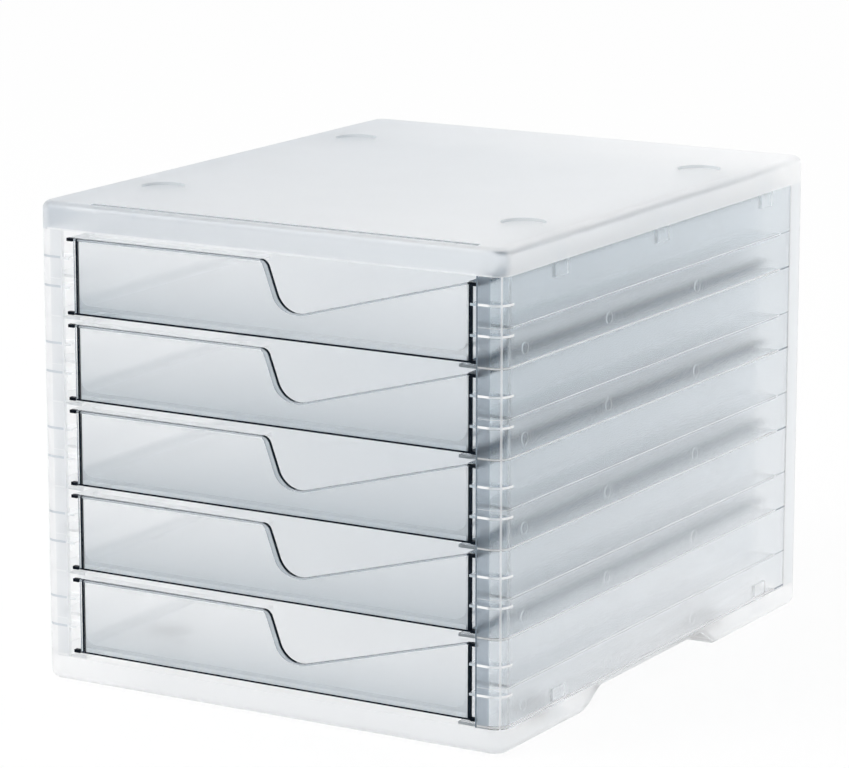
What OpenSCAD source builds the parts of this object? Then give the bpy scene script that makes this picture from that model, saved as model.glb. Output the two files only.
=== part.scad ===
// Desktop drawer box: a frosted housing of five moulded pieces round five clear pull-out trays.
// X runs to the right, Y to the back and Z up; the origin lies under the middle of the box.

/* [Housing] */
// Width over both side walls
housing_w = 270; // [250:1:310]
// Depth from the front columns to the back wall
housing_d = 330; // [300:1:380]
// Radius of the upright corners
corner_r = 8; // [6:0.5:12]
// Thickness of the housing walls
wall_t = 2.2; // [1.8:0.1:2.8]
// Width of the front columns
column_w = 15; // [13:0.5:20]
// Depth of the side returns of the back wall
return_d = 18; // [14:1:26]

/* [Cover] */
// Height of the cover
cover_h = 14; // [12:0.5:20]
// Radius round the upper rim of the cover
cover_round = 4.5; // [3:0.25:5]
// Diameter of the stacking recesses
recess_d = 22; // [21:0.5:26]
// Depth of the stacking recesses
recess_depth = 1.5; // [0.8:0.1:2.5]
// Distance of the recesses and pads from the sides
stack_side = 29; // [20:1:40]
// Distance of the recesses and pads from the front and back
stack_end = 70.5; // [50:0.5:72]
// Spacing of the gussets behind the front rim
gusset_pitch = 28; // [20:1:40]
// How far the row of gussets lies right of the middle
gusset_shift = 6; // [-14:1:14]
// Height and depth of the gussets
gusset_size = 3; // [2:0.25:5]
// Thickness of the gussets
gusset_t = 1.2; // [0.8:0.1:2]

/* [Base] */
// Height of the base moulding
base_h = 13.2; // [11:0.2:20]
// Radius round the lower rim of the base
base_round = 5; // [3:0.25:5.5]
// Length of the front feet along the floor
foot_front = 80; // [76:1:110]
// Length of the rear feet along the floor
foot_rear = 98; // [84:1:120]
// How far the ends of the feet slant
foot_slant = 20; // [8:1:26]
// Thickness of the deck between the feet
deck_t = 1.8; // [1.4:0.1:3]

/* [Pads] */
// Diameter of the non-slip pads
pad_d = 20; // [14:0.5:20.5]
// Thickness of the pads
pad_t = 2.5; // [2:0.1:4]
// How far the pads stand below the base
pad_proud = 0.8; // [0.5:0.1:1.5]
// Gap round a pad in its seat
pad_gap = 0.2; // [0.1:0.05:0.5]

/* [Tongues] */
// Width of the snap tongues
tongue_w = 13; // [9:0.5:18]
// Thickness of the snap tongues
tongue_t = 1.7; // [1.2:0.1:2.2]
// Height of the snap tongues above and below a wall
tongue_h = 7.5; // [5:0.5:9]
// Distance of the front tongues from the front
tongue_front = 58.5; // [40:0.5:70]
// Distance of the rear tongues from the back
tongue_rear = 46; // [30:0.5:70]
// Spacing of the tongues along the back wall
tongue_pitch = 80; // [50:1:100]
// Gap between a tongue and the skirt that it snaps behind
tongue_gap = 0.2; // [0.1:0.05:0.4]
// Thickness of the ribs beside a tongue
pocket_t = 1.2; // [0.8:0.1:2]
// How far these ribs stand in past a tongue
pocket_over = 1.1; // [0.4:0.1:2]

/* [Rails] */
// Thickness of the runners
runner_t = 1.5; // [1.2:0.1:2.4]
// How far the runners reach in under the lips of a tray
runner_lap = 9; // [6:0.5:14]
// Height of the guide rails above the bottom of a tray
rail_z = 17.5; // [15:0.5:22]
// Thickness of the guide rails
rail_t = 1.5; // [1:0.1:2]
// Height of the lower column rib above the bottom of a tray
rib_low_z = 13.5; // [10:0.5:13.5]
// Height of the upper column rib above the bottom of a tray
rib_high_z = 28.5; // [26:0.5:31]
// Thickness of the column ribs
rib_t = 1.2; // [0.8:0.1:1.5]
// Depth of the column ribs from the front
rib_d = 10; // [8:0.5:14]
// How far the rails stop short of the back wall's returns
rail_short = 12; // [6:1:20]
// Diameter of the round bosses inside the side walls
boss_d = 6; // [4:0.5:8]
// Height of the round bosses
boss_h = 0.5; // [0.3:0.1:1]

/* [Trays] */
// Spacing of the trays
tray_pitch = 44.2; // [42:0.2:56]
// Height of a tray's front
front_h = 39.2; // [37:0.2:39.2]
// Thickness of a tray's front
front_t = 2.4; // [1.8:0.1:3]
// How far the fronts stand back from the columns
front_set = 3; // [2.4:0.1:5]
// How far a front laps over the side walls of its tray
front_over = 1; // [0.5:0.1:1.5]
// Thickness of the tray walls
tray_t = 2; // [1.4:0.1:2.6]
// Thickness of the tray floor
floor_t = 2; // [1.4:0.1:2.6]
// How far the floor lies above the bottom edge
floor_lift = 3.2; // [2:0.2:5]
// How far the lips stand out from the side walls
lip_out = 4.6; // [3.4:0.1:6]
// Thickness of the lips
lip_t = 1.6; // [1.2:0.1:2.2]
// Height of a tray's rear wall
rear_h = 34; // [24:0.5:36]
// Depth of the stiffening lip behind the front
pull_lip_d = 8; // [4:0.5:12]
// Thickness of the stiffening lip
pull_lip_t = 1.8; // [1.2:0.1:2.4]
// How far a tray pulls out
travel = 245; // [180:5:260]
// Height of the stop nubs above the bottom of a tray
nub_z = 26; // [24:0.5:27]
// Height of a stop nub
nub_h = 5.5; // [4.5:0.5:7]
// Length of a stop nub
nub_l = 6; // [4:0.5:10]

/* [Finger cut] */
// Where the cut starts, left of the middle
cut_start = 3.6; // [0:0.2:20]
// Height of the front at the lowest point of the cut
cut_low = 14.1; // [11:0.1:20]
// Radius where the cut leaves the top edge
cut_top_r = 5; // [3:0.25:6]
// Radius at the lowest point of the cut
cut_low_r = 13; // [8:0.5:15]
// Steepness of the cut's left side, in degrees
cut_steep = 70; // [55:1:80]
// Length of top edge left at the right end
cut_end = 1.5; // [1:0.1:6]

/* [Clearances] */
// Gap between a tray's lips and the columns
side_gap = 1; // [0.6:0.1:1.5]
// Gap between a tray and its guides
guide_gap = 0.6; // [0.4:0.1:1]
// Gap under a tray, and at its ends of travel
run_gap = 0.3; // [0.2:0.05:0.5]
// Room above the top tray's pitch
head_room = 1; // [0:0.2:4]

/* [Hidden] */

trays = 5;
frost = [0.88, 0.9, 0.92, 0.6];
clear = [0.78, 0.84, 0.9, 0.35];
rubber = [0.8, 0.81, 0.82];
eps = 0.01;
through = 1;
fine = 64;
coarse = 32;

half_w = housing_w / 2;
half_d = housing_d / 2;
inner_x = half_w - wall_t;
inner_y = half_d - wall_t;
inner_r = corner_r - wall_t;

// heights of the seams
base_top = pad_proud + base_h;
side_h = trays * tray_pitch + head_room;
cover_bottom = base_top + side_h;
housing_h = cover_bottom + cover_h;

// widths from the middle outward
open_x = half_w - column_w;
lip_x = open_x - side_gap;
tray_x = lip_x - lip_out;
front_x = tray_x + front_over;
runner_x = lip_x - runner_lap;
rail_x = tray_x + guide_gap;
rib_x = front_x + guide_gap;
nub_x = lip_x - side_gap / 2;

// depths from front to back
front_y = -half_d + front_set;
return_y = half_d - return_d;
tray_end_y = return_y - run_gap;
tray_l = tray_end_y - front_y;
rib_end_y = -half_d + rib_d;
rail_end_y = return_y - rail_short;
nub_y = rib_end_y + run_gap + travel;

stack_x = half_w - stack_side;
stack_y = half_d - stack_end;
tongue_front_y = -half_d + tongue_front;
tongue_rear_y = half_d - tongue_rear;
// how far the root of a tongue runs along its wall
tongue_root = 8;
// distances of the bosses from the front, and their height above the bottom of a tray
boss_places = [23, 108, 204];
boss_z = 6;

function tray_z(n) = base_top + runner_t + run_gap + (trays - n) * tray_pitch;

function arc(cx, cy, r, from, to, steps = 16) =
    [for (i = [0:steps]) let (a = from + (to - from) * i / steps) [cx + r * cos(a), cy + r * sin(a)]];

// rounded rectangle
module plan(w, d, r) {
    square([w - 2 * r, d], center = true);
    square([w, d - 2 * r], center = true);
    for (sx = [-1, 1], sy = [-1, 1])
        translate([sx * (w / 2 - r), sy * (d / 2 - r)])
            circle(r, $fn = fine);
}

// plate with rounded corners whose upper rim is rounded too
module soft_block(h, rim) {
    hull() {
        linear_extrude(h - rim)
            plan(housing_w, housing_d, corner_r);
        for (sx = [-1, 1], sy = [-1, 1])
            translate([sx * (half_w - corner_r), sy * (half_d - corner_r), h - rim])
                rotate_extrude($fn = coarse)
                    intersection() {
                        translate([corner_r - rim, 0])
                            circle(rim, $fn = coarse);
                        square([corner_r, rim]);
                    }
        translate([0, 0, h - rim])
            linear_extrude(rim)
                plan(housing_w - 2 * rim, housing_d - 2 * rim, corner_r - rim);
    }
}

// the inside of the housing in plan
module inside_plan() {
    plan(2 * inner_x, 2 * inner_y, inner_r);
}

// the ring of walls in plan
module wall_plan() {
    difference() {
        plan(housing_w, housing_d, corner_r);
        inside_plan();
    }
}

// a snap tongue on the inner face of a wall whose face lies at x = face
module tongue(face, z, up) {
    low = up ? z - tongue_root : z - tongue_h;
    top = face - tongue_gap;
    translate([top - tongue_t, -tongue_w / 2, low])
        cube([tongue_t, tongue_w, tongue_root + tongue_h]);
    translate([top - eps, -tongue_w / 2, up ? low : z + eps])
        cube([tongue_gap + 2 * eps, tongue_w, tongue_root - eps]);
}

// pair of ribs on the cover's skirt that hold a tongue between them
module tongue_pocket(face) {
    deep = tongue_gap + tongue_t + pocket_over;
    for (s = [-1, 1])
        translate([face - deep, s * (tongue_w / 2 + tongue_gap + pocket_t / 2) - pocket_t / 2, cover_bottom])
            cube([deep + eps, pocket_t, cover_h - wall_t + eps]);
}

module top_cover() {
    gussets = floor((open_x - gusset_pitch / 2) / gusset_pitch);
    color(frost)
        difference() {
            union() {
                difference() {
                    translate([0, 0, cover_bottom])
                        soft_block(cover_h, cover_round);
                    translate([0, 0, cover_bottom - through])
                        linear_extrude(through + cover_h - wall_t)
                            inside_plan();
                }
                for (sx = [-1, 1], sy = [-1, 1])
                    translate([sx * stack_x, sy * stack_y, housing_h - recess_depth - wall_t])
                        cylinder(d = recess_d + 2 * wall_t, h = recess_depth + wall_t / 2, $fn = fine);
                for (i = [-gussets:gussets])
                    translate([i * gusset_pitch + gusset_shift - gusset_t / 2, -inner_y - eps,
                               housing_h - wall_t - gusset_size])
                        cube([gusset_t, gusset_size, gusset_size + eps]);
                for (s = [0, 1], y = [tongue_front_y, 0, tongue_rear_y])
                    mirror([s, 0, 0])
                        translate([0, y, 0])
                            tongue_pocket(inner_x);
            }
            for (sx = [-1, 1], sy = [-1, 1])
                translate([sx * stack_x, sy * stack_y, housing_h - recess_depth])
                    cylinder(d = recess_d, h = recess_depth + through, $fn = fine);
        }
}

// outline of a foot tub seen from the side, from y = end to the slanted face
module foot_profile(end, toe, dir, low, high, inset) {
    polygon([[end, low], [toe - dir * inset, low],
             [toe + dir * (foot_slant * (high - low) / (base_h - deck_t)) - dir * inset, high],
             [end, high]]);
}

// hollow of one foot tub, open at the top
module foot_hollow(end, toe, dir) {
    floor_z = pad_proud + wall_t;
    shift = foot_slant * wall_t / (base_h - deck_t);
    intersection() {
        rotate([90, 0, 90])
            linear_extrude(2 * inner_x, center = true)
                foot_profile(end, toe + dir * shift, dir, floor_z, base_top + through, 2 * wall_t);
        translate([0, 0, floor_z])
            linear_extrude(base_h)
                inside_plan();
    }
}

module base() {
    front_toe = -half_d + foot_front;
    rear_toe = half_d - foot_rear;
    deck_z = base_top - deck_t;
    color(frost)
        difference() {
            union() {
                difference() {
                    translate([0, 0, base_top])
                        mirror([0, 0, 1])
                            soft_block(base_h, base_round);
                    rotate([90, 0, 90])
                        linear_extrude(housing_w + 2 * through, center = true)
                            polygon([[front_toe, pad_proud - eps], [front_toe + foot_slant, deck_z],
                                     [rear_toe - foot_slant, deck_z], [rear_toe, pad_proud - eps]]);
                    foot_hollow(-half_d, front_toe, 1);
                    foot_hollow(half_d, rear_toe, -1);
                }
                for (sx = [-1, 1], sy = [-1, 1])
                    translate([sx * stack_x, sy * stack_y, pad_proud])
                        cylinder(d = pad_d + 2 * pad_gap + wall_t, h = pad_t + wall_t, $fn = fine);
            }
            for (sx = [-1, 1], sy = [-1, 1])
                translate([sx * stack_x, sy * stack_y, pad_proud - through])
                    cylinder(d = pad_d + 2 * pad_gap, h = through + pad_t - pad_proud, $fn = fine);
        }
}

module pad(sx, sy) {
    color(rubber)
        translate([sx * stack_x, sy * stack_y, 0])
            cylinder(d = pad_d, h = pad_t, $fn = fine);
}

// shelf of a side wall, cut to the inside of the housing
module shelf(from_x, from_y, to_y, z, t) {
    translate([0, 0, z])
        linear_extrude(t)
            intersection() {
                plan(2 * (inner_x + wall_t / 2), 2 * (inner_y + wall_t / 2), inner_r + wall_t / 2);
                translate([from_x, from_y])
                    square([half_w - from_x, to_y - from_y]);
            }
}

module right_side() {
    color(frost) {
        translate([0, 0, base_top])
            linear_extrude(side_h)
                intersection() {
                    wall_plan();
                    translate([open_x, -half_d])
                        square([column_w, housing_d - return_d]);
                }
        for (n = [1:trays]) {
            z = tray_z(n);
            shelf(runner_x, -half_d, rail_end_y, z - run_gap - runner_t, runner_t);
            shelf(rail_x, rib_end_y, rail_end_y, z + rail_z, rail_t);
            for (rib_z = [rib_low_z, rib_high_z])
                shelf(rib_x, -half_d, rib_end_y, z + rib_z, rib_t);
            for (y = boss_places)
                translate([inner_x - boss_h, -half_d + y, z + boss_z])
                    rotate([0, 90, 0])
                        cylinder(d = boss_d, h = boss_h + wall_t / 2, $fn = coarse);
        }
        for (y = [tongue_front_y, 0, tongue_rear_y])
            translate([0, y, 0])
                tongue(inner_x, cover_bottom, true);
        for (y = [tongue_front_y, tongue_rear_y])
            translate([0, y, 0])
                tongue(inner_x, base_top, false);
    }
}

module left_side() {
    mirror([1, 0, 0])
        right_side();
}

module back_wall() {
    color(frost) {
        translate([0, 0, base_top])
            linear_extrude(side_h) {
                intersection() {
                    wall_plan();
                    translate([-half_w, return_y])
                        square([housing_w, return_d]);
                }
                for (s = [0, 1])
                    mirror([s, 0, 0])
                        translate([rib_x, return_y])
                            square([half_w - wall_t / 2 - rib_x, wall_t]);
            }
        rotate([0, 0, 90]) {
            for (x = [-1, 0, 1])
                translate([0, x * tongue_pitch, 0])
                    tongue(inner_y, cover_bottom, true);
            for (x = [-1, 1])
                translate([0, x * tongue_pitch, 0])
                    tongue(inner_y, base_top, false);
        }
    }
}

// outline of a tray's front with the finger cut in its upper edge
module front_outline() {
    tilt = 90 - cut_steep;
    top_cz = front_h - cut_top_r;
    low_cz = cut_low + cut_low_r;
    from = [cut_top_r * cos(tilt) - cut_start, top_cz + cut_top_r * sin(tilt)];
    drop = from[1] - (low_cz - cut_low_r * sin(tilt));
    low_cx = from[0] + drop / tan(cut_steep) + cut_low_r * cos(tilt);
    rise = atan((front_h - cut_low) / (front_x - cut_end - low_cx));
    polygon(concat(
        [[-front_x, 0], [-front_x, front_h]],
        arc(-cut_start, top_cz, cut_top_r, 90, tilt),
        arc(low_cx, low_cz, cut_low_r, 180 + tilt, 270 + rise),
        [[front_x - cut_end, front_h], [front_x, front_h], [front_x, 0]]));
}

module tray(n) {
    color(clear)
        translate([0, 0, tray_z(n)]) {
            translate([0, front_y + front_t, 0])
                rotate([90, 0, 0])
                    linear_extrude(front_t)
                        front_outline();
            translate([-tray_x, front_y + front_t / 2, floor_lift])
                cube([2 * tray_x, tray_l - front_t / 2, floor_t]);
            translate([-tray_x, tray_end_y - tray_t, floor_lift])
                cube([2 * tray_x, tray_t, rear_h - floor_lift]);
            translate([-front_x + front_over, front_y + front_t / 2, front_h - pull_lip_t])
                cube([front_x - front_over - cut_start, pull_lip_d, pull_lip_t]);
            for (s = [0, 1])
                mirror([s, 0, 0]) {
                    translate([tray_x - tray_t, front_y + front_t / 2, 0])
                        cube([tray_t, tray_l - front_t / 2, front_h]);
                    for (z = [0, front_h - lip_t])
                        translate([tray_x - tray_t / 2, front_y, z])
                            cube([lip_x - tray_x + tray_t / 2, tray_l, lip_t]);
                    translate([tray_x - tray_t / 2, nub_y, nub_z])
                        cube([nub_x - tray_x + tray_t / 2, nub_l, nub_h]);
                }
        }
}

module drawer_1() { tray(1); }
module drawer_2() { tray(2); }
module drawer_3() { tray(3); }
module drawer_4() { tray(4); }
module drawer_5() { tray(5); }

top_cover();
base();
left_side();
right_side();
back_wall();
drawer_1();
drawer_2();
drawer_3();
drawer_4();
drawer_5();
pad(-1, -1);  // pad_front_left
pad(1, -1);  // pad_front_right
pad(-1, 1);  // pad_rear_left
pad(1, 1);  // pad_rear_right
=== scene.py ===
import math

import bmesh
import bpy
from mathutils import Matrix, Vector


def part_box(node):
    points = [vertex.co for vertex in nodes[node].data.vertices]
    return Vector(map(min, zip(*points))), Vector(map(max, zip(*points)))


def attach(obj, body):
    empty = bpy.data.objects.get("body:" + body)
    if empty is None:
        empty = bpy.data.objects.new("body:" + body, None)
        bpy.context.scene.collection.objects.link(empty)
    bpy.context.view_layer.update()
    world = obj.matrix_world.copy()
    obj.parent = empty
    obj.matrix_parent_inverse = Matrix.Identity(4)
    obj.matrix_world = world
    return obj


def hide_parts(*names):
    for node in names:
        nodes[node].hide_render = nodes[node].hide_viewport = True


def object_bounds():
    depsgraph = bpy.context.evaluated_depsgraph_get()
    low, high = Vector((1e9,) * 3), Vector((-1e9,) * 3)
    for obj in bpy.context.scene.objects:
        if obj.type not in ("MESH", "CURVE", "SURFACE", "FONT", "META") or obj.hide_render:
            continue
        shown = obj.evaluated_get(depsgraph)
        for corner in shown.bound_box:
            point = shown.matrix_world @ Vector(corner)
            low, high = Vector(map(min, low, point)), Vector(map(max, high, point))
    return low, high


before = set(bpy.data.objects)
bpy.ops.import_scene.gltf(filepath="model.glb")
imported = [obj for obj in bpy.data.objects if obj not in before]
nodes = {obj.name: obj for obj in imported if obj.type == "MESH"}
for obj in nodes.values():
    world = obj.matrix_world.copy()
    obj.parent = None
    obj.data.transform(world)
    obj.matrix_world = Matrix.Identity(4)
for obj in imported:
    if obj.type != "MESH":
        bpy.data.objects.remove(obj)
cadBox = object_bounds()
scene = bpy.context.scene
print("frame loaded")

# lengths are in metres
samePlace = 1e-5      # closer points count as one
onSurface = 1e-4      # closer points lie in a surface
mergeReach = 1e-6
snapReach = 2e-6      # a cut takes corners this near to it
weldReach = 3e-6
facing = 0.9          # a face looks along an axis if more than this share of its normal does


def addMath(tree, operation, a, b):
    node = tree.nodes.new("ShaderNodeMath")
    node.operation = operation
    for slot, value in enumerate((a, b)):
        if isinstance(value, (int, float)):
            node.inputs[slot].default_value = value
        else:
            tree.links.new(value, node.inputs[slot])
    return node.outputs[0]


def makeGroup(name, inputs, outputs):
    # inputs are (name, kind, value), outputs (name, kind)
    group = bpy.data.node_groups.new(name, "ShaderNodeTree")
    for label, kind, value in inputs:
        socket = group.interface.new_socket(name=label, in_out="INPUT", socket_type=kind)
        socket.default_value = value
    for label, kind in outputs:
        group.interface.new_socket(name=label, in_out="OUTPUT", socket_type=kind)
    return group, group.nodes.new("NodeGroupInput"), group.nodes.new("NodeGroupOutput")


def addNoise(tree, scale, detail=2.0, stretch=(1, 1, 1)):
    coords = tree.nodes.new("ShaderNodeTexCoord")
    mapping = tree.nodes.new("ShaderNodeMapping")
    mapping.inputs["Scale"].default_value = stretch
    noise = tree.nodes.new("ShaderNodeTexNoise")
    tree.links.new(coords.outputs["Object"], mapping.inputs["Vector"])
    tree.links.new(mapping.outputs["Vector"], noise.inputs["Vector"])
    if isinstance(scale, (int, float)):
        noise.inputs["Scale"].default_value = scale
    else:
        tree.links.new(scale, noise.inputs["Scale"])
    noise.inputs["Detail"].default_value = detail
    return noise.outputs["Fac"]


def addColourMix(tree, a, b, factor=None):
    # without a factor the two colours are multiplied
    mix = tree.nodes.new("ShaderNodeMix")
    mix.data_type = "RGBA"
    if factor is None:
        mix.blend_type = "MULTIPLY"
        mix.inputs["Factor"].default_value = 1.0
    else:
        tree.links.new(factor, mix.inputs["Factor"])
    tree.links.new(a, mix.inputs["A"])
    tree.links.new(b, mix.inputs["B"])
    return mix.outputs["Result"]


def makeSatinGrain():
    # fine spark-eroded grain of the mould: even sheen with a little life in it
    cloudSize = 14.0
    group, start, end = makeGroup(
        "satinGrain",
        [("Grain Size", "NodeSocketFloat", 1500.0), ("Roughness", "NodeSocketFloat", 0.3),
         ("Spread", "NodeSocketFloat", 0.06)],
        [("Roughness", "NodeSocketFloat"), ("Height", "NodeSocketFloat")])
    grain = addNoise(group, start.outputs["Grain Size"])
    cloud = addNoise(group, cloudSize)
    swing = addMath(group, "MULTIPLY", addMath(group, "SUBTRACT", cloud, 0.5), start.outputs["Spread"])
    group.links.new(addMath(group, "ADD", swing, start.outputs["Roughness"]), end.inputs["Roughness"])
    group.links.new(grain, end.inputs["Height"])
    return group


def makeMeltFlow():
    # slow streaks that the melt leaves in moulded plastic, as a tint and a faint height
    alongTheFlow = (1, 0.35, 1)
    group, start, end = makeGroup(
        "meltFlow",
        [("Light", "NodeSocketColor", (1, 1, 1, 1)), ("Deep", "NodeSocketColor", (0.9, 0.9, 0.9, 1)),
         ("Streak Size", "NodeSocketFloat", 9.0)],
        [("Color", "NodeSocketColor"), ("Height", "NodeSocketFloat")])
    streak = addNoise(group, start.outputs["Streak Size"], 1.0, alongTheFlow)
    tint = addColourMix(group, start.outputs["Light"], start.outputs["Deep"], streak)
    group.links.new(tint, end.inputs["Color"])
    group.links.new(streak, end.inputs["Height"])
    return group


def makePaintedShadeFade():
    # painted shade: a tint that changes from one end of a piece to the other, darkening one end where a
    # look sets it
    group, start, end = makeGroup(
        "paintedShadeFade",
        [("Color", "NodeSocketColor", (1, 1, 1, 1)), ("Start", "NodeSocketColor", (1, 1, 1, 1)),
         ("End", "NodeSocketColor", (1, 1, 1, 1)), ("Direction", "NodeSocketVector", (0, 0, 1)),
         ("Offset", "NodeSocketFloat", 0.0), ("Bend", "NodeSocketFloat", 1.0)],
        [("Color", "NodeSocketColor")])
    coords = group.nodes.new("ShaderNodeTexCoord")
    along = group.nodes.new("ShaderNodeVectorMath")
    along.operation = "DOT_PRODUCT"
    group.links.new(coords.outputs["Generated"], along.inputs[0])
    group.links.new(start.outputs["Direction"], along.inputs[1])
    place = addMath(group, "ADD", along.outputs["Value"], start.outputs["Offset"])
    place = addMath(group, "MAXIMUM", addMath(group, "MINIMUM", place, 1.0), 0.0)
    place = addMath(group, "POWER", place, start.outputs["Bend"])
    tint = addColourMix(group, start.outputs["Start"], start.outputs["End"], place)
    group.links.new(addColourMix(group, start.outputs["Color"], tint), end.inputs["Color"])
    return group


satinGrain = makeSatinGrain()
meltFlow = makeMeltFlow()
paintedShadeFade = makePaintedShadeFade()


def addGroup(tree, group, values):
    node = tree.nodes.new("ShaderNodeGroup")
    node.node_tree = group
    for label, value in values.items():
        node.inputs[label].default_value = value
    return node


def makePlastic(name, look):
    material = bpy.data.materials.new(name)
    material.use_nodes = True
    tree = material.node_tree
    shader = tree.nodes["Principled BSDF"]
    shader.inputs["IOR"].default_value = look["ior"]
    shader.inputs["Transmission Weight"].default_value = look["clear"]
    grain = addGroup(tree, satinGrain, {
        "Grain Size": look["grainSize"], "Roughness": look["rough"], "Spread": look["roughSpread"]})
    flow = addGroup(tree, meltFlow, {
        "Light": (*look["light"], 1), "Deep": (*look["deep"], 1), "Streak Size": look["streakSize"]})
    # painted shade, where the look sets a fade
    fade = addGroup(tree, paintedShadeFade, look.get("fade", {}))
    tree.links.new(flow.outputs["Color"], fade.inputs["Color"])
    tree.links.new(fade.outputs["Color"], shader.inputs["Base Color"])
    tree.links.new(grain.outputs["Roughness"], shader.inputs["Roughness"])
    bump = tree.nodes.new("ShaderNodeBump")
    bump.inputs["Strength"].default_value = look["bump"]
    bump.inputs["Distance"].default_value = look["bumpDepth"]
    tree.links.new((grain if look["grainBump"] else flow).outputs["Height"], bump.inputs["Height"])
    tree.links.new(bump.outputs["Normal"], shader.inputs["Normal"])
    return material


frosted = {
    "ior": 1.5, "clear": 1.0, "rough": 0.30, "roughSpread": 0.06, "grainSize": 1500.0,
    "light": (0.990, 0.993, 0.996), "deep": (0.984, 0.988, 0.993), "streakSize": 9.0,
    "grainBump": True, "bump": 0.1, "bumpDepth": 0.0002}
polished = {
    "ior": 1.59, "clear": 1.0, "rough": 0.02, "roughSpread": 0.015, "grainSize": 600.0,
    "light": (0.990, 0.993, 0.996), "deep": (0.982, 0.986, 0.991), "streakSize": 6.0,
    "grainBump": False, "bump": 0.05, "bumpDepth": 0.0005}
satin = {**polished, "rough": 0.38, "roughSpread": 0.06, "grainSize": 1300.0, "streakSize": 7.0,
         "grainBump": True, "bump": 0.1, "bumpDepth": 0.0002}
# painted shade: a front is darker towards its foot, where the tray behind it is deep
frontPaintedShade = {"Start": (0.53, 0.59, 0.63, 1), "End": (1, 1, 1, 1), "Direction": (0, 0, 1), "Bend": 0.45}

# housing
frostedPlastic = makePlastic("frostedPlastic", frosted)
# painted shade: the cover's plastic darkens towards its left end
shadedCoverPlastic = makePlastic("shadedCoverPlastic", {
    **frosted, "fade": {"Start": (0.76, 0.79, 0.82, 1), "End": (1, 1, 1, 1), "Direction": (1, 0, 0),
                        "Bend": 0.8}})
coverRim = makePlastic("coverRim", {**frosted, "clear": 0.7})
# painted shade: the right side wall darkens towards its top and front
shadedSidePlastic = makePlastic("shadedSidePlastic", {
    **frosted, "rough": 0.21, "bump": 0.03,
    "fade": {"Start": (0.985, 0.99, 0.995, 1), "End": (0.76, 0.812, 0.846, 1),
             "Direction": (0, -0.55, 0.85), "Offset": 0.28}})
leftPlastic = makePlastic("leftPlastic", {**frosted, "rough": 0.38, "bump": 0.03})
backPlastic = makePlastic("backPlastic", {
    **frosted, "light": (0.93, 0.945, 0.957), "deep": (0.91, 0.93, 0.945)})
# painted shade: the front columns are greyer than the housing, the right one (columnShade) much darker
# than the left
leftColumnShade = makePlastic("leftColumnShade", {
    **frosted, "rough": 0.36, "light": (0.86, 0.875, 0.89), "deep": (0.83, 0.85, 0.87)})
columnShade = makePlastic("columnShade", {
    **frosted, "rough": 0.3, "light": (0.54, 0.59, 0.64), "deep": (0.50, 0.555, 0.61)})
# painted shade: grey on the walls and rounded rims of the top's recesses
recessRim = makePlastic("recessRim", {
    **frosted, "clear": 0.4, "light": (0.72, 0.75, 0.77), "deep": (0.68, 0.71, 0.73)})
# painted highlight: nearly opaque white for the bright lines at the seams, the bosses' rims and the ribs
paintedBrightLine = makePlastic("paintedBrightLine", {
    **frosted, "clear": 0.1, "light": (0.99, 0.995, 0.998), "deep": (0.98, 0.985, 0.99)})
# painted highlight, faint: whiter lines on the rails and the bent ends of the ribs
paintedRailLine = makePlastic("paintedRailLine", {**frosted, "clear": 0.85})
# painted highlight: pale lines down the front corners, at the rear and lower seams and on the runners
paintedFaintLine = makePlastic("paintedFaintLine", {
    **frosted, "clear": 0.6, "light": (0.985, 0.992, 0.996), "deep": (0.975, 0.985, 0.99)})
edgeShade = makePlastic("edgeShade", {
    **frosted, "clear": 0.5, "rough": 0.2, "light": (0.22, 0.27, 0.32), "deep": (0.16, 0.21, 0.26)})

# trays
# the clear fronts carry the painted shade; the top tray's front is lighter towards its upper right,
# painted light from above
clearFront = makePlastic("clearFront", {**polished, "fade": frontPaintedShade})
clearFrontTop = makePlastic("clearFrontTop", {
    **polished, "fade": {**frontPaintedShade, "Direction": (0.35, 0, 0.85), "Offset": -0.08}})
paintedDarkRim = makePlastic("paintedDarkRim", {    # painted shade: black edge lines for the dark seen by refraction in the plate's edges; it hardly bends light, or it would reflect the bright room
    **polished, "ior": 1.08, "clear": 0.1, "rough": 0.2,
    "light": (0.008, 0.012, 0.019), "deep": (0.004, 0.007, 0.012)})
# painted shade: grey on the plate's other rounded edges
paintedGreyRim = makePlastic("paintedGreyRim", {
    **polished, "clear": 0.6, "rough": 0.12, "light": (0.40, 0.45, 0.49), "deep": (0.34, 0.39, 0.43)})
# painted highlight: nearly opaque white on the top of each tray's pull lip
paintedPaleRim = makePlastic("paintedPaleRim", {
    **polished, "clear": 0.1, "rough": 0.12, "light": (0.98, 0.985, 0.99), "deep": (0.95, 0.96, 0.975)})
satinTray = makePlastic("satinTray", satin)
# painted shade: slightly darker floors for the middle trays
trayFloorShade = makePlastic("trayFloorShade", {
    **satin, "light": (0.950, 0.958, 0.965), "deep": (0.925, 0.937, 0.947)})
# painted shade: darker blue-grey on the trays' rear walls
trayRearShade = makePlastic("trayRearShade", {
    **satin, "light": (0.74, 0.785, 0.825), "deep": (0.71, 0.76, 0.80)})
# painted shade: a dark band on the right lips, softer on the lower trays
trayEdgeShade = makePlastic("trayEdgeShade", {
    **satin, "ior": 1.15, "clear": 0.05, "rough": 0.2,
    "light": (0.012, 0.056, 0.10), "deep": (0.006, 0.040, 0.078)})
trayEdgeSoftShade = makePlastic("trayEdgeSoftShade", {
    **satin, "ior": 1.2, "clear": 0.5, "rough": 0.2,
    "light": (0.25, 0.305, 0.35), "deep": (0.19, 0.245, 0.295)})

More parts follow.
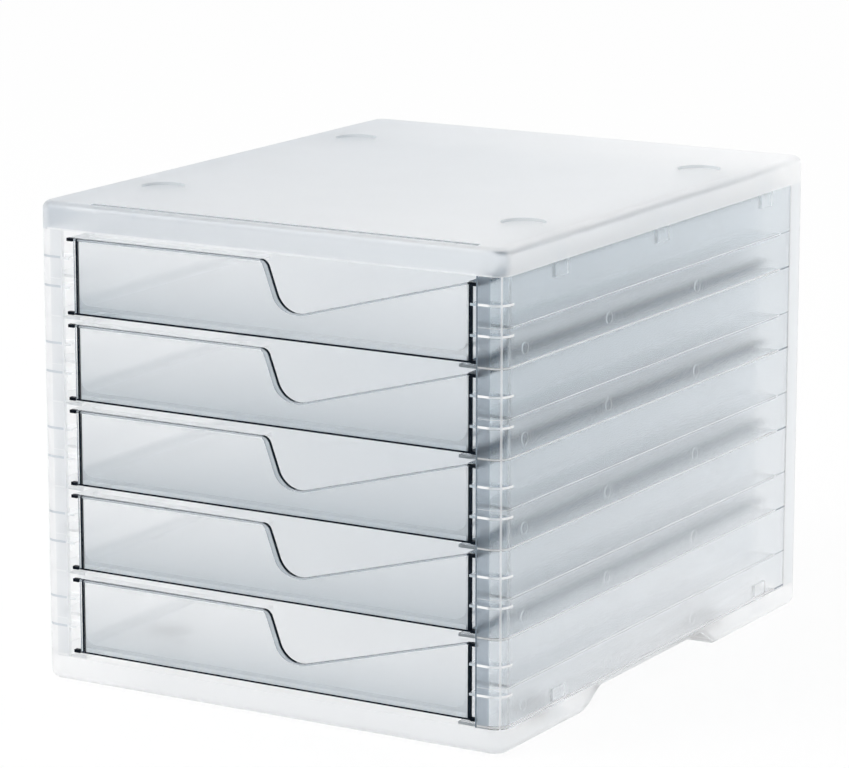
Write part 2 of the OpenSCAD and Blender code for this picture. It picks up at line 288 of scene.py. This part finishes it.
padRubber = makePlastic("padRubber", {
    "ior": 1.5, "clear": 0.0, "rough": 0.62, "roughSpread": 0.12, "grainSize": 2500.0,
    "light": (0.74, 0.75, 0.76), "deep": (0.66, 0.67, 0.69), "streakSize": 60.0,
    "grainBump": True, "bump": 0.4, "bumpDepth": 0.0003})
print("plastics and rubber mixed")


def allOf(build):
    return list(build.verts) + list(build.edges) + list(build.faces)


def copySolid(node):
    # the solid's mesh as faces with many corners, ready to be rounded
    flatUnder = math.radians(0.5)
    build = bmesh.new()
    build.from_mesh(nodes[node].data)
    bmesh.ops.remove_doubles(build, verts=build.verts, dist=mergeReach)
    bmesh.ops.dissolve_limit(build, angle_limit=flatUnder, verts=build.verts, edges=build.edges)
    return build


def isSharp(edge, degrees=35):
    return abs(edge.calc_face_angle(0)) > math.radians(degrees)


def roundEdges(build, wanted, width, steps):
    edges = [e for e in build.edges if len(e.link_faces) == 2 and isSharp(e) and wanted(e)]
    bmesh.ops.bevel(build, geom=edges, offset=width, offset_type="OFFSET", segments=steps, profile=0.5,
                    affect="EDGES", clamp_overlap=False)


def cutAlong(build, axis, places):
    for place in places:
        point, normal = [0, 0, 0], [0, 0, 0]
        point[axis], normal[axis] = place, 1
        bmesh.ops.bisect_plane(build, geom=allOf(build), dist=snapReach, plane_co=point, plane_no=normal)


def finishPiece(build, name, body, node, choose, smoothUnder=38):
    # choose gives the material for a face's middle and normal
    bmesh.ops.remove_doubles(build, verts=build.verts, dist=weldReach)
    materials = []
    for face in build.faces:
        face.smooth = True
        material = choose(face.calc_center_median(), face.normal)
        if material not in materials:
            materials.append(material)
        face.material_index = materials.index(material)
    for edge in build.edges:
        edge.smooth = not isSharp(edge, smoothUnder)
    mesh = bpy.data.meshes.new(name)
    build.to_mesh(mesh)
    build.free()
    for material in materials:
        mesh.materials.append(material)
    piece = bpy.data.objects.new(name, mesh)
    scene.collection.objects.link(piece)
    even = piece.modifiers.new("evenShade", "WEIGHTED_NORMAL")
    even.weight = 100
    even.keep_sharp = True
    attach(piece, body)
    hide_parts(node)


front = {
    "thick": 0.0024,
    "bottomEdge": 0.0013,    # widths of the rounding round the plate
    "sideEdge": 0.0012,
    "topEdge": 0.0008,
    "cutEdge": 0.0026,       # the finger cut's steep side is rolled in further
    "riseEdge": 0.0009,
    "backEdge": 0.0003,
    "edgeDepth": 0.0012,
    "cutDepth": 0.0018,
    "roundSteps": 5,
    "sharpTurn": 0.3,        # keeps the inset in bounds at pointed corners
    "cutStart": -0.0036,
    "cutLead": 0.0005,
    "steepEnd": 0.0150,
    "swellIn": 0.004,        # lengths over which the cut's rounding swells and fades
    "swellOut": 0.008,
    "cornerZone": 0.001,
    "halfWidth": 0.1154,
    "riseEnd": 0.1135,
    "rimReach": 0.0014,      # the painted dark line at the right and lower edge
    "cutShade": 0.45,        # share of the cut's depth from where it is painted dark
    "flatFace": 0.995,
    "wallLine": (-0.1136, -0.1125),    # a painted dark line where the left wall is seen edge on through the plate
    "lipGap": 0.0001,
    "lipReach": 0.1190,
    "lipThick": 0.0016,
    "smoothUnder": 60,
}


def frontOutline(node, low):
    # round the plate from its lower left corner, as (x, height)
    lowestCut = 0.01
    onFront = [v.co for v in nodes[node].data.vertices if v.co.y < low.y + samePlace]
    points = {(round(c.x, 6), round(c.z - low.z, 6)) for c in onFront
              if front["cutStart"] - samePlace < c.x < front["riseEnd"] and c.z - low.z > lowestCut}
    cut = sorted(points)[:-1] if len(points) > 1 else []
    half, high = front["halfWidth"], max(z for x, z in points)
    return [(-half, 0.0), (-half, high)] + cut + [(half, high), (half, 0.0)]


def edgeWidth(x, height):
    if height < front["cornerZone"]:
        return front["bottomEdge"]
    if abs(x) > front["halfWidth"] - front["cornerZone"]:
        return front["sideEdge"]
    if x < front["cutStart"] + front["cutLead"]:
        return front["topEdge"]
    if x < front["steepEnd"]:
        swell = min(1, (x - front["cutStart"]) / front["swellIn"])
        fade = min(1, (front["steepEnd"] - x) / front["swellOut"])
        return front["riseEdge"] + (front["cutEdge"] - front["riseEdge"]) * swell * fade
    return front["riseEdge"]


def insetRing(build, outline, share, y, base):
    ring = []
    count = len(outline)
    for k, (x, height) in enumerate(outline):
        before, after = outline[k - 1], outline[(k + 1) % count]
        into = Vector((x - before[0], height - before[1])).normalized()
        out = Vector((after[0] - x, after[1] - height)).normalized()
        sideIn, sideOut = Vector((into.y, -into.x)), Vector((out.y, -out.x))
        aim = (sideIn + sideOut).normalized()
        reach = share * edgeWidth(x, height) / max(front["sharpTurn"], aim.dot(sideIn))
        ring.append(build.verts.new((x + aim.x * reach, y(x, height), base + height + aim.y * reach)))
    return ring


def addLips(build, low, high):
    # the ends of the tray's side lips, which stand out past the plate
    inner = front["halfWidth"] + front["lipGap"]
    wide = front["lipReach"] - inner
    for side in (-1, 1):
        for height in (front["lipThick"] / 2, high.z - low.z - front["lipThick"] / 2):
            lip = bmesh.ops.create_cube(build, size=1)["verts"]
            bmesh.ops.scale(build, vec=(wide, front["thick"], front["lipThick"]), verts=lip)
            place = (side * (inner + wide / 2), low.y + front["thick"] / 2, low.z + height)
            bmesh.ops.translate(build, vec=place, verts=lip)


def makeTrayFront(number):
    node = f"drawer_{number}"
    low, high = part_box(node)
    outline = frontOutline(node, low)
    build = bmesh.new()
    steps = front["roundSteps"]
    back = low.y + front["thick"]
    backShare = front["backEdge"] / front["cutEdge"]
    rings = [insetRing(build, outline, backShare, lambda x, h: back, low.z),
             insetRing(build, outline, 0, lambda x, h: back - front["backEdge"], low.z)]
    for k in range(steps + 1):
        turn = math.radians(90) * k / steps

        def depth(x, height):
            inCut = front["cutStart"] < x < front["steepEnd"] and height > front["cornerZone"]
            return low.y + (front["cutDepth"] if inCut else front["edgeDepth"]) * (1 - math.sin(turn))

        rings.append(insetRing(build, outline, 1 - math.cos(turn), depth, low.z))
    for first, second in zip(rings, rings[1:]):
        for k in range(len(outline)):
            after = (k + 1) % len(outline)
            build.faces.new((first[k], first[after], second[after], second[k]))
    build.faces.new(rings[-1])
    build.faces.new(list(reversed(rings[0])))
    addLips(build, low, high)
    bmesh.ops.recalc_face_normals(build, faces=build.faces)
    cutAlong(build, 0, front["wallLine"])
    clear = clearFrontTop if number == 1 else clearFront

    # the flat faces stay clear; painted dark and grey lines go round the rims, into the cut and where the
    # left wall shows
    def choose(centre, normal):
        lineStart, lineEnd = front["wallLine"]
        inLine = lineStart < centre.x < lineEnd
        if abs(normal.y) > front["flatFace"] and abs(centre.x) < front["halfWidth"] and not inLine:
            return clear
        atRight = centre.x > front["halfWidth"] - front["rimReach"]
        atFoot = centre.z - low.z < front["rimReach"]
        onLip = abs(centre.x) > front["halfWidth"]
        inCut = (front["cutStart"] < centre.x < front["steepEnd"]
                 and centre.y > low.y + front["cutDepth"] * front["cutShade"])
        return paintedDarkRim if inLine or atRight or atFoot or onLip or inCut else paintedGreyRim

    finishPiece(build, f"tray_{number}_front", f"tray_{number}", node, choose,
                front["smoothUnder"])


tray = {
    "count": 5,
    "seam": 0.00002,         # hair gap between the front plate and the tray's body
    "halfWall": 0.1144,
    "lowerLip": 0.0017,
    "skirt": 0.0033,         # the painted dark band of the upper two trays takes their walls' feet too
    "skirted": 2,
    # painted shade on the right lips and the floors, from the top tray down
    "lipShading": (trayEdgeShade, trayEdgeShade, trayEdgeSoftShade, trayEdgeSoftShade, satinTray),
    "floorShading": (satinTray, trayFloorShade, trayFloorShade, trayFloorShade, satinTray),
    "upperLip": 0.0373,
    "pullEnd": -0.150,
    "rearStart": 0.140,
    "edge": 0.0003,
    "roundSteps": 2,
    "floorTop": 0.0052,
    "floorZone": 0.001,
    "fillet": 0.006,         # the floor runs up into the walls in a soft curve
    "filletSteps": 7,
    "filletZone": 0.007,
    "longEdge": 0.05,
    "behindFront": 0.001,
}


def makeTrayBody(number):
    node = f"drawer_{number}"
    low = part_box(node)[0]
    build = copySolid(node)
    plane = low.y + front["thick"] + tray["seam"]
    cut = bmesh.ops.bisect_plane(build, geom=allOf(build), plane_co=(0, plane, 0), plane_no=(0, 1, 0),
                                 clear_inner=True)["geom_cut"]
    bmesh.ops.holes_fill(build, edges=[e for e in cut if isinstance(e, bmesh.types.BMEdge)], sides=0)
    bmesh.ops.recalc_face_normals(build, faces=build.faces)

    def isLong(edge):
        furthest = max(v.co.y for v in edge.verts)
        return edge.calc_length() > tray["longEdge"] and furthest > plane + tray["behindFront"]

    def nearFloor(edge, reach):
        return all(abs(v.co.z - low.z - tray["floorTop"]) < reach for v in edge.verts)

    roundEdges(build, lambda e: isLong(e) and nearFloor(e, samePlace), tray["fillet"], tray["filletSteps"])
    roundEdges(build, lambda e: isLong(e) and not nearFloor(e, tray["filletZone"]), tray["edge"],
               tray["roundSteps"])

    def choose(centre, normal):
        up = centre.z - low.z
        if centre.x > tray["halfWall"] - onSurface:
            shadedUpTo = tray["skirt"] if number <= tray["skirted"] else tray["lowerLip"]
            onUpperLip = up > tray["upperLip"] and centre.x > tray["halfWall"] + onSurface
            if up < shadedUpTo or onUpperLip:
                return tray["lipShading"][number - 1]
        if normal.z > facing and up > tray["upperLip"] and centre.y < tray["pullEnd"]:
            return paintedPaleRim
        if abs(normal.z) > facing and up < tray["floorTop"] + tray["floorZone"]:
            return tray["floorShading"][number - 1]
        if abs(normal.y) > facing and centre.y > tray["rearStart"]:
            return trayRearShade
        return satinTray

    finishPiece(build, f"tray_{number}_body", f"tray_{number}", node, choose)


for number in range(1, tray["count"] + 1):
    makeTrayFront(number)
    makeTrayBody(number)
print("trays made")


shell = {
    "edge": 0.00035,
    "roundSteps": 2,
    "shortest": 0.003,            # shorter edges stay as the mould leaves them
    "seamMargin": 0.0002,
    "outside": (cadBox[1][0], cadBox[1][1]),
    "wall": 0.0022,
    "seams": (0.014, 0.236),
    "seamReach": 0.00002,         # takes the roots of the snap tongues along
    "rearSeam": 0.147,
    "hair": 0.00005,
    "seamLine": 0.0009,
}
sideWall = {
    "innerEdge": 0.120,           # of the front columns
    "cornerRadius": 0.008,
    "cornerSkin": 0.0003,
    "cornerLine": 0.00098,        # half width of the painted highlight line down each front corner
    "edgeLine": 0.0009,
    "bendStart": 0.1262,          # the painted rib highlights are fainter between here and the corner line
    "ribBack": -0.1548,
    "ribs": (0.0146, 0.0296),     # heights over a tray's bottom where the shelves are painted as lines, bright on the right and grey on the left
    "ribMark": 0.0006,
    "runner": -0.0007,
    "runnerMark": 0.0004,
    "rail": 0.0187,
    "railMark": 0.0002,
    "railEnd": 0.135,
    "bosses": (-0.142, -0.057, 0.039),    # small round bosses inside, over each tray's bottom
    "bossHeight": 0.006,
    "bossRadius": (0.0026, 0.0034),
    "bossDepth": 0.001,
    "bossSlant": 0.7,             # faces that look further sideways are a boss's flat end
}
cover = {
    "top": cadBox[1][2],
    "topSkin": 0.0005,
    "topLine": (-0.1616, -0.1588),    # painted dark line behind the front rounding
    "topLineEnds": (-0.104, 0.119),
    "recessAt": (0.106, 0.0945),
    "recessRim": (0.0108, 0.0134),
    "recessEdgeReach": 0.0004,
    "recessEdge": 0.0005,
    "recessDepth": 0.004,
    "recessFlat": 0.97,
}
housingPieces = {"top_cover": "cover", "base": "footFrame", "left_side": "sideLeft",
                 "right_side": "sideRight", "back_wall": "backPanel"}
trayBottoms = [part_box(f"drawer_{number}")[0].z for number in range(1, tray["count"] + 1)]


def markShelves(build):
    # the lines where ribs, rails and runners meet the wall inside are painted on the outer face: the
    # shelves are real, their lines painted highlights, with painted shade at the rear ends of the rails
    # and runners
    heights = []
    marks = [(rib, sideWall["ribMark"]) for rib in sideWall["ribs"]]
    marks += [(sideWall["runner"], sideWall["runnerMark"]), (sideWall["rail"], sideWall["railMark"])]
    for bottom in trayBottoms:
        for height, reach in marks:
            heights += [bottom + height - reach, bottom + height + reach]
    cutAlong(build, 2, heights)
    cutAlong(build, 1, [sideWall["ribBack"], sideWall["railEnd"], shell["rearSeam"] - shell["seamLine"]])
    inner = sideWall["innerEdge"] + sideWall["edgeLine"]
    cutAlong(build, 0, [-inner, inner])


def openSeams(build, atRear):
    # a hair of air in the joints, else touching faces of two clear pieces trap the light
    for vert in build.verts:
        place = vert.co
        for seam, step in zip(shell["seams"], (1, -1)):
            if abs(place.z - seam) < shell["seamReach"]:
                place.z += step * shell["hair"]
        inReturn = abs(place.x) > sideWall["innerEdge"]
        if atRear and inReturn and abs(place.y - shell["rearSeam"]) < samePlace:
            place.y -= shell["hair"]


def onSeam(centre):
    # only the joint faces in the thickness of the outer walls, which get a painted bright line
    wide, deep = shell["outside"]
    inWall = abs(centre.x) > wide - shell["wall"] or abs(centre.y) > deep - shell["wall"]
    level = min(abs(centre.z - seam) for seam in shell["seams"]) < 2 * shell["hair"]
    return inWall and (level or abs(centre.y - shell["rearSeam"]) < 2 * shell["hair"])


# the bosses' rims inside the side walls, which get a painted bright ring
def onBossRim(centre, normal):
    face = shell["outside"][0] - shell["wall"]
    inward = face - sideWall["bossDepth"] < abs(centre.x) < face + onSurface
    if not inward or abs(normal.x) >= sideWall["bossSlant"]:
        return False
    inner, outer = sideWall["bossRadius"]
    reaches = [math.hypot(centre.y - along, centre.z - bottom - sideWall["bossHeight"])
               for bottom in trayBottoms for along in sideWall["bosses"]]
    return any(inner < reach < outer for reach in reaches)


def shelfFinish(centre):
    # the painted highlight or shade of a shelf's line outside, or nothing between the lines
    wide, deep = shell["outside"]
    side = abs(centre.x)
    onRight = centre.x > 0
    for bottom in trayBottoms:
        up = centre.z - bottom
        onRib = min(abs(up - rib) for rib in sideWall["ribs"]) < sideWall["ribMark"]
        if onRib and centre.y < sideWall["ribBack"]:
            frontHalf = side - wide < -centre.y - deep
            inBend = side > sideWall["bendStart"] and frontHalf
            bright = paintedRailLine if inBend else paintedBrightLine
            return bright if onRight else columnShade
        onRunner = abs(up - sideWall["runner"]) < sideWall["runnerMark"]
        onRail = abs(up - sideWall["rail"]) < sideWall["railMark"]
        if (onRunner or onRail) and centre.y > sideWall["railEnd"]:
            return edgeShade
        if onRunner:
            return paintedFaintLine
        if onRail:
            return paintedRailLine
    return None


def sideFinish(centre, normal):
    wide, deep = shell["outside"]
    side, radius = abs(centre.x), sideWall["cornerRadius"]
    onRight = centre.x > 0
    # painted shade: the right column and its inner edge are darker than the left
    column = columnShade if onRight else leftColumnShade
    columnEdge = edgeShade if onRight else leftColumnShade
    wall = shadedSidePlastic if onRight else leftPlastic
    if onSeam(centre):
        return paintedBrightLine
    atFront = centre.y < -deep + radius
    if atFront and abs(side - sideWall["innerEdge"]) < onSurface:
        return columnEdge
    inCorner = atFront and side > wide - radius
    fromAxis = math.hypot(side - wide + radius, centre.y + deep - radius)
    onSkin = inCorner and fromAxis > radius - sideWall["cornerSkin"]
    outer = side > wide - onSurface or centre.y < -deep + onSurface or onSkin
    if onBossRim(centre, normal):
        return paintedBrightLine
    onColumn = atFront and side < wide - radius
    if not outer:
        return column if onColumn and abs(normal.y) > facing else wall
    if inCorner and abs((side - wide) - (-centre.y - deep)) < sideWall["cornerLine"]:
        return paintedFaintLine
    if atFront and side < sideWall["innerEdge"] + sideWall["edgeLine"]:
        return columnEdge
    if centre.y > shell["rearSeam"] - shell["seamLine"]:
        return paintedFaintLine
    return shelfFinish(centre) or (column if onColumn else wall)


def backFinish(centre, normal):
    if onSeam(centre):
        return paintedBrightLine
    nearSeam = centre.y < shell["rearSeam"] + shell["seamLine"]
    outer = abs(centre.x) > shell["outside"][0] - onSurface
    return paintedFaintLine if nearSeam and outer else backPlastic


def coverFinish(centre, normal):
    if onSeam(centre):
        return paintedBrightLine
    near, far = cover["topLine"]
    start, end = cover["topLineEnds"]
    onTop = centre.z > cover["top"] - cover["topSkin"]
    if onTop and near < centre.y < far and start < centre.x < end:
        return edgeShade
    wide, deep = shell["outside"]
    outer = abs(centre.x) > wide - onSurface or abs(centre.y) > deep - onSurface
    if outer and centre.z < shell["seams"][1] + shell["seamLine"]:
        return paintedFaintLine
    if abs(centre.x) > wide - onSurface:
        return coverRim
    sideways, along = cover["recessAt"]
    fromAxis = math.hypot(abs(centre.x) - sideways, abs(centre.y) - along)
    inner, outerRim = cover["recessRim"]
    inRim = inner < fromAxis < outerRim and centre.z > cover["top"] - cover["recessDepth"]
    return recessRim if inRim and abs(normal.z) < cover["recessFlat"] else shadedCoverPlastic


def frameFinish(centre, normal):
    return paintedBrightLine if onSeam(centre) else frostedPlastic


def isRecessEdge(edge):
    sideways, along = cover["recessAt"]
    inner = cover["recessRim"][0]

    def onRim(place):
        fromAxis = math.hypot(abs(place.x) - sideways, abs(place.y) - along)
        return inner < fromAxis < inner + cover["recessEdgeReach"] and place.z > cover["top"] - samePlace

    return all(onRim(v.co) for v in edge.verts)


def isOuterEdge(edge):
    # only edges that lie in an outer face, as the crowded corners inside would fold over
    wide, deep = shell["outside"]
    lowSeam, highSeam = shell["seams"]
    margin = shell["seamMargin"]
    ends = [v.co for v in edge.verts]
    between = all(lowSeam + margin < c.z < highSeam - margin for c in ends)
    inFront = all(c.y < -deep + samePlace for c in ends)
    inSide = all(abs(c.x) > wide - samePlace for c in ends)
    inRear = all(c.y > deep - samePlace for c in ends)
    return between and (inFront or inSide or inRear) and edge.calc_length() > shell["shortest"]


def makeHousingPiece(node, name):
    build = copySolid(node)
    if node == "top_cover":
        roundEdges(build, isRecessEdge, cover["recessEdge"], shell["roundSteps"])
        cutAlong(build, 1, cover["topLine"])
        cutAlong(build, 0, cover["topLineEnds"])
        cutAlong(build, 2, [shell["seams"][1] + shell["seamLine"]])
        choose = coverFinish
    elif node == "base":
        choose = frameFinish
    elif node == "back_wall":
        roundEdges(build, isOuterEdge, shell["edge"], shell["roundSteps"])
        openSeams(build, False)
        cutAlong(build, 1, [shell["rearSeam"] + shell["seamLine"]])
        choose = backFinish
    else:
        roundEdges(build, isOuterEdge, shell["edge"], shell["roundSteps"])
        openSeams(build, True)
        markShelves(build)
        choose = sideFinish
    finishPiece(build, name, "housing", node, choose)


for node, name in housingPieces.items():
    makeHousingPiece(node, name)
for name, node in nodes.items():
    if name.startswith("pad"):
        node.data.materials.clear()
        node.data.materials.append(padRubber)
print("housing and pads dressed")


studio = {
    "floorSize": 14.0,
    "floorShade": 0.10,    # share of the floor's white that a shadow can take away
    "floorRough": 0.9,
    "keyPower": 25.0,
    "keySize": 1.6,
    "keyPlace": (-1.2, -1.6, 2.2),
    "keyAim": (0, 0, 0.12),
    "skyLevel": 0.85,      # the room's light on matt surfaces
    "horizonLevel": 1.0,   # the room as it is seen, in a band round the horizon and overhead
    "zenithLevel": 1.0,
    "horizonTop": 0.35,
    "zenithStart": 0.95,
}


def addRoomLevel(tree, seenLevel, lightLevel):
    # one level to the eye, in reflections and through clear plastic, the other as light
    rays = tree.nodes.new("ShaderNodeLightPath")
    seen = addMath(tree, "MAXIMUM", rays.outputs["Is Camera Ray"], rays.outputs["Is Glossy Ray"])
    seen = addMath(tree, "MAXIMUM", seen, rays.outputs["Is Transmission Ray"])
    gain = addMath(tree, "MULTIPLY", seen, addMath(tree, "SUBTRACT", seenLevel, lightLevel))
    return addMath(tree, "ADD", gain, lightLevel)


def makeFloor():
    half = studio["floorSize"] / 2
    build = bmesh.new()
    corners = [build.verts.new((x, y, 0)) for x, y in
               ((-half, -half), (half, -half), (half, half), (-half, half))]
    build.faces.new(corners)
    mesh = bpy.data.meshes.new("floor")
    build.to_mesh(mesh)
    build.free()
    floor = bpy.data.objects.new("floor", mesh)
    scene.collection.objects.link(floor)
    material = bpy.data.materials.new("floorPaper")
    material.use_nodes = True
    tree = material.node_tree
    shader = tree.nodes["Principled BSDF"]
    shade = studio["floorShade"]
    white = 1 - shade
    shader.inputs["Base Color"].default_value = (shade, shade, shade, 1)
    shader.inputs["Roughness"].default_value = studio["floorRough"]
    shader.inputs["Specular IOR Level"].default_value = 0.0
    shader.inputs["Emission Color"].default_value = (1, 1, 1, 1)
    glow = addRoomLevel(tree, white, studio["skyLevel"] * white)
    tree.links.new(glow, shader.inputs["Emission Strength"])
    mesh.materials.append(material)


def makeSky():
    world = bpy.data.worlds.new("studioSky")
    scene.world = world
    world.use_nodes = True
    tree = world.node_tree
    background = tree.nodes["Background"]
    background.inputs["Color"].default_value = (1, 1, 1, 1)
    coords = tree.nodes.new("ShaderNodeTexCoord")
    split = tree.nodes.new("ShaderNodeSeparateXYZ")
    tree.links.new(coords.outputs["Generated"], split.inputs[0])
    height = tree.nodes.new("ShaderNodeMapRange")
    height.interpolation_type = "SMOOTHSTEP"
    tree.links.new(split.outputs["Z"], height.inputs["Value"])
    height.inputs["From Min"].default_value = studio["horizonTop"]
    height.inputs["From Max"].default_value = studio["zenithStart"]
    height.inputs["To Min"].default_value = studio["horizonLevel"]
    height.inputs["To Max"].default_value = studio["zenithLevel"]
    level = addRoomLevel(tree, height.outputs["Result"], studio["skyLevel"])
    tree.links.new(level, background.inputs["Strength"])


def makeLamp():
    light = bpy.data.lights.new("softKey", "AREA")
    light.energy = studio["keyPower"]
    light.size = studio["keySize"]
    lamp = bpy.data.objects.new("softKey", light)
    lamp.location = studio["keyPlace"]
    aim = Vector(studio["keyAim"]) - lamp.location
    lamp.rotation_euler = aim.to_track_quat("-Z", "Y").to_euler()
    scene.collection.objects.link(lamp)


makeFloor()
makeSky()
makeLamp()

photoView = {
    "yaw": 30.65,
    "pitch": 12.28,
    "lens": 169.2,
    "film": 36,
    "place": (1.041, -1.767, 0.586),
}


def makeCamera():
    data = bpy.data.cameras.new("photoCamera")
    data.lens = photoView["lens"]
    data.sensor_width = photoView["film"]
    camera = bpy.data.objects.new("photoCamera", data)
    camera.location = photoView["place"]
    camera.rotation_euler = (math.radians(90 - photoView["pitch"]), 0, math.radians(photoView["yaw"]))
    scene.collection.objects.link(camera)
    scene.camera = camera


makeCamera()
scene.view_settings.view_transform = "Standard"
scene.cycles.max_bounces = 48
scene.cycles.transmission_bounces = 48
scene.cycles.glossy_bounces = 24
scene.cycles.blur_glossy = 0.0    # rough clear plastic loses light with it
print("studio and camera set")
